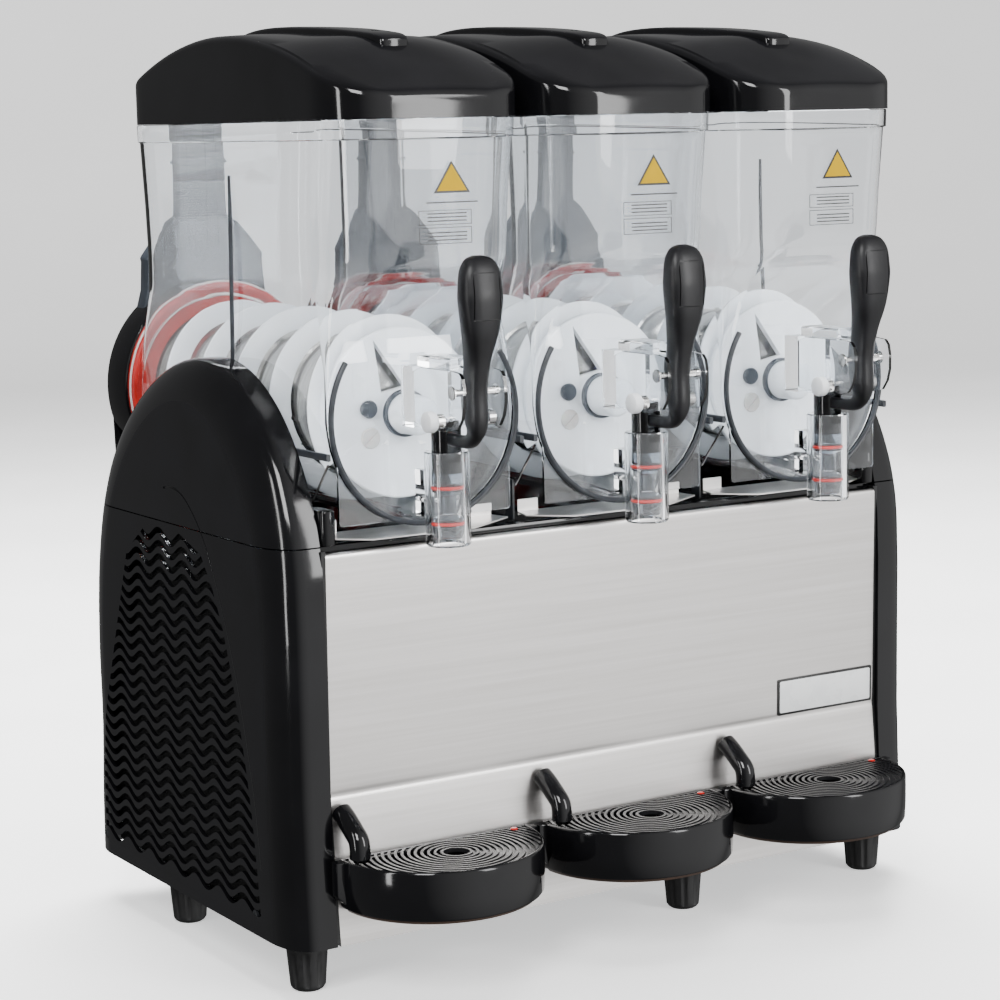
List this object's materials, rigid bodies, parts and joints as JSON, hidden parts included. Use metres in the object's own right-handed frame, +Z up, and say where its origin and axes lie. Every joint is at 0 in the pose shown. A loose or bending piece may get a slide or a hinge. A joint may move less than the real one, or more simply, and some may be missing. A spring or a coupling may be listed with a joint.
{
  "type": "frozen drink dispenser",
  "caption": "Countertop slush machine: clear bowls with black lids and spiral augers over a stainless-fronted cooling body, lever taps, and drip trays below.",
  "frame": {"origin": "on the floor, under the centre of the overall box", "axes": "+X to the machine's right seen from the front, -Y towards the user at the taps, +Z up"},
  "size_m": [0.654, 0.52, 0.791],
  "materials": {
    "gloss_black": "moulded high-gloss ABS",
    "matt_black": "fine matt moulded plastic",
    "stainless": "brushed stainless sheet",
    "clear_bowl": "clear polycarbonate",
    "white_plastic": "white acetal, satin",
    "red_seal": "red silicone",
    "foot_rubber": "black rubber",
    "galvanised": "galvanised sheet",
    "dark_steel": "black painted steel",
    "fin_aluminium": "finned coil",
    "switch_red": "red rocker"
  },
  "bodies": {
    "root": {"base_plate": "galvanised", "left_frame": "galvanised", "right_frame": "galvanised", "rear_panel": "galvanised", "deck": "gloss_black", "front_panel": "stainless", "left_upper_cover": "gloss_black", "left_vent_cover": "gloss_black", "right_upper_cover": "gloss_black", "right_vent_cover": "gloss_black", "rear_cover": "matt_black", "compressor": "dark_steel", "condenser": "fin_aluminium", "fan_motor": "dark_steel", "cord_inlet": "matt_black", "left_front_foot": "foot_rubber", "left_rear_foot": "foot_rubber", "right_front_foot": "foot_rubber", "right_rear_foot": "foot_rubber", "middle_front_foot": "foot_rubber", "middle_rear_foot": "foot_rubber", "left_evaporator": "stainless", "left_rear_seal": "red_seal", "left_housing": "matt_black", "left_gearmotor": "dark_steel", "left_drain_spout": "gloss_black", "middle_evaporator": "stainless", "middle_rear_seal": "red_seal", "middle_housing": "matt_black", "middle_gearmotor": "dark_steel", "middle_drain_spout": "gloss_black", "right_evaporator": "stainless", "right_rear_seal": "red_seal", "right_housing": "matt_black", "right_gearmotor": "dark_steel", "right_drain_spout": "gloss_black"},
    "fan": {"fan": "matt_black"},
    "main_switch": {"main_switch": "switch_red"},
    "left_bowl": {"left_bowl": "clear_bowl"},
    "left_lid": {"left_lid": "gloss_black"},
    "left_auger": {"left_auger": "white_plastic"},
    "left_piston": {"left_piston": "matt_black"},
    "left_handle": {"left_handle": "matt_black"},
    "left_tray": {"left_drip_tray": "gloss_black", "left_grille": "gloss_black"},
    "middle_bowl": {"middle_bowl": "clear_bowl"},
    "middle_lid": {"middle_lid": "gloss_black"},
    "middle_auger": {"middle_auger": "white_plastic"},
    "middle_piston": {"middle_piston": "matt_black"},
    "middle_handle": {"middle_handle": "matt_black"},
    "middle_tray": {"middle_drip_tray": "gloss_black", "middle_grille": "gloss_black"},
    "right_bowl": {"right_bowl": "clear_bowl"},
    "right_lid": {"right_lid": "gloss_black"},
    "right_auger": {"right_auger": "white_plastic"},
    "right_piston": {"right_piston": "matt_black"},
    "right_handle": {"right_handle": "matt_black"},
    "right_tray": {"right_drip_tray": "gloss_black", "right_grille": "gloss_black"}
  },
  "joints": [
    {"name": "fan_spin", "type": "hinge", "parent": "root", "child": "fan", "pos_m": [-0.19, 0.07, 0.17], "axis": [1, 0, 0], "continuous": true},
    {"name": "main_switch_rock", "type": "hinge", "parent": "root", "child": "main_switch", "pos_m": [0.15, 0.2415, 0.2445], "axis": [1, 0, 0], "range_deg": [0, 8]},
    {"name": "left_bowl_slide", "type": "slide", "parent": "root", "child": "left_bowl", "axis": [0, -1, 0], "range_m": [0, 0.34]},
    {"name": "left_lid_lift", "type": "slide", "parent": "left_bowl", "child": "left_lid", "axis": [0, 0, 1], "range_m": [0, 0.12]},
    {"name": "left_auger_spin", "type": "hinge", "parent": "root", "child": "left_auger", "pos_m": [-0.195, 0, 0.472], "axis": [0, 1, 0], "continuous": true},
    {"name": "left_handle_pull", "type": "hinge", "parent": "left_bowl", "child": "left_handle", "pos_m": [-0.195, -0.236, 0.498], "axis": [1, 0, 0], "range_deg": [0, 28], "stiffness_Nm_per_rad": 0.6, "springref_deg": -28.65},
    {"name": "left_piston_lift", "type": "slide", "parent": "left_bowl", "child": "left_piston", "axis": [0, 0, 1], "range_m": [0, 0.0226]},
    {"name": "left_tray_pull", "type": "slide", "parent": "root", "child": "left_tray", "axis": [0, -1, 0], "range_m": [0, 0.12]},
    {"name": "middle_bowl_slide", "type": "slide", "parent": "root", "child": "middle_bowl", "axis": [0, -1, 0], "range_m": [0, 0.34]},
    {"name": "middle_lid_lift", "type": "slide", "parent": "middle_bowl", "child": "middle_lid", "axis": [0, 0, 1], "range_m": [0, 0.12]},
    {"name": "middle_auger_spin", "type": "hinge", "parent": "root", "child": "middle_auger", "pos_m": [0, 0, 0.472], "axis": [0, 1, 0], "continuous": true},
    {"name": "middle_handle_pull", "type": "hinge", "parent": "middle_bowl", "child": "middle_handle", "pos_m": [0, -0.236, 0.498], "axis": [1, 0, 0], "range_deg": [0, 28], "stiffness_Nm_per_rad": 0.6, "springref_deg": -28.65},
    {"name": "middle_piston_lift", "type": "slide", "parent": "middle_bowl", "child": "middle_piston", "axis": [0, 0, 1], "range_m": [0, 0.0226]},
    {"name": "middle_tray_pull", "type": "slide", "parent": "root", "child": "middle_tray", "axis": [0, -1, 0], "range_m": [0, 0.12]},
    {"name": "right_bowl_slide", "type": "slide", "parent": "root", "child": "right_bowl", "axis": [0, -1, 0], "range_m": [0, 0.34]},
    {"name": "right_lid_lift", "type": "slide", "parent": "right_bowl", "child": "right_lid", "axis": [0, 0, 1], "range_m": [0, 0.12]},
    {"name": "right_auger_spin", "type": "hinge", "parent": "root", "child": "right_auger", "pos_m": [0.195, 0, 0.472], "axis": [0, 1, 0], "continuous": true},
    {"name": "right_handle_pull", "type": "hinge", "parent": "right_bowl", "child": "right_handle", "pos_m": [0.195, -0.236, 0.498], "axis": [1, 0, 0], "range_deg": [0, 28], "stiffness_Nm_per_rad": 0.6, "springref_deg": -28.65},
    {"name": "right_piston_lift", "type": "slide", "parent": "right_bowl", "child": "right_piston", "axis": [0, 0, 1], "range_m": [0, 0.0226]},
    {"name": "right_tray_pull", "type": "slide", "parent": "root", "child": "right_tray", "axis": [0, -1, 0], "range_m": [0, 0.12]}
  ],
  "couplings": [
    {"joint": "left_piston_lift", "follows": "left_handle_pull", "m_per_rad": 0.046},
    {"joint": "middle_piston_lift", "follows": "middle_handle_pull", "m_per_rad": 0.046},
    {"joint": "right_piston_lift", "follows": "right_handle_pull", "m_per_rad": 0.046}
  ]
}
